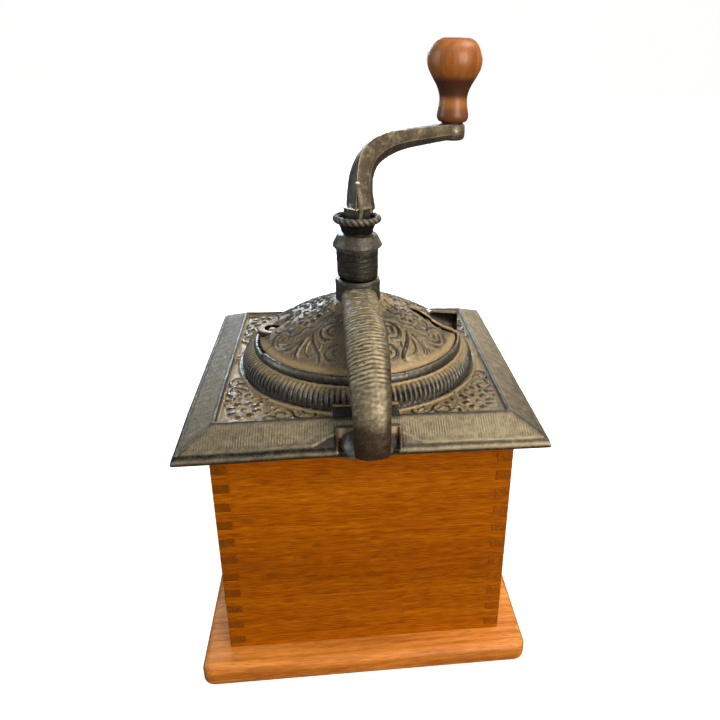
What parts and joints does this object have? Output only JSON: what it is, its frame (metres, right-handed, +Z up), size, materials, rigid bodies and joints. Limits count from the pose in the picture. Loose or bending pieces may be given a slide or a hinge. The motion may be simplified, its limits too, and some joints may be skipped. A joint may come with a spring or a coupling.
{
  "type": "hand crank coffee grinder",
  "caption": "Hand crank coffee grinder: finger-jointed wooden box with a drawer, domed cast-iron top with a swinging lid, grip handle and S-shaped crank.",
  "frame": {"origin": "centre of the base's underside, below the crank's axis", "axes": "+Z up along the crank's axis; the grip handle points to -Y, the drawer opens to +Y, +X is to the right when the handle faces the viewer"},
  "size_m": [0.184, 0.1927, 0.3348],
  "materials": {
    "cast_iron": "worn bronze-grey casting",
    "dark_iron": "dark worn casting",
    "inner_iron": "rough casting",
    "steel": "aged steel",
    "box_wood": "satin varnish",
    "base_wood": "satin varnish",
    "inner_wood": "bare wood",
    "knob_wood": "gloss varnish"
  },
  "bodies": {
    "case": {"base_board": "base_wood", "front_board": "box_wood", "drawer_side_board": "box_wood", "left_board": "box_wood", "right_board": "box_wood", "corner_blocks": "inner_wood", "base_screws": "steel", "plate_screws": "steel", "top_plate": "cast_iron", "handle_casting": "cast_iron", "handle_screw": "steel", "neck_sleeve": "dark_iron", "hopper_bowl": "inner_iron", "hopper_screws": "steel", "outer_burr": "inner_iron", "burr_screws": "steel", "lower_bridge": "inner_iron", "bridge_screws": "steel", "lid_rivet": "steel"},
    "lid": {"lid": "cast_iron"},
    "nut_carrier": {"thrust_washer": "steel"},
    "adjusting_nut": {"adjusting_nut": "dark_iron"},
    "spindle": {"main_shaft": "steel", "inner_burr": "inner_iron", "burr_pin": "steel", "crank_arm": "cast_iron", "crank_pin": "steel", "nut_catch": "steel", "knob_spindle": "steel", "knob_washer": "steel"},
    "crank_knob": {"crank_knob": "knob_wood"},
    "drawer": {"drawer_front": "box_wood", "drawer_left_side": "inner_wood", "drawer_right_side": "inner_wood", "drawer_back": "inner_wood", "drawer_bottom": "inner_wood", "drawer_knob": "knob_wood", "drawer_knob_screw": "steel", "drawer_brads": "steel"}
  },
  "joints": [
    {"name": "crank_turn", "type": "hinge", "parent": "case", "child": "nut_carrier", "pos_m": [0, 0, 0.235], "axis": [0, 0, 1], "continuous": true},
    {"name": "nut_turn", "type": "hinge", "parent": "nut_carrier", "child": "adjusting_nut", "pos_m": [0, 0, 0.24], "axis": [0, 0, 1], "range_deg": [-360.01, 360.01]},
    {"name": "spindle_feed", "type": "slide", "parent": "nut_carrier", "child": "spindle", "axis": [0, 0, 1], "range_m": [-0.0015, 0.0015]},
    {"name": "knob_spin", "type": "hinge", "parent": "spindle", "child": "crank_knob", "pos_m": [0.06056, 0.05647, 0.31], "axis": [0, 0, 1], "continuous": true},
    {"name": "lid_swing", "type": "hinge", "parent": "case", "child": "lid", "pos_m": [-0.0498, 0, 0.176], "axis": [0, 0, 1], "range_deg": [0, 100]},
    {"name": "drawer_slide", "type": "slide", "parent": "case", "child": "drawer", "axis": [0, 1, 0], "range_m": [0, 0.095]}
  ],
  "couplings": [
    {"joint": "nut_turn", "follows": "spindle_feed", "rad_per_m": -4188.8}
  ]
}
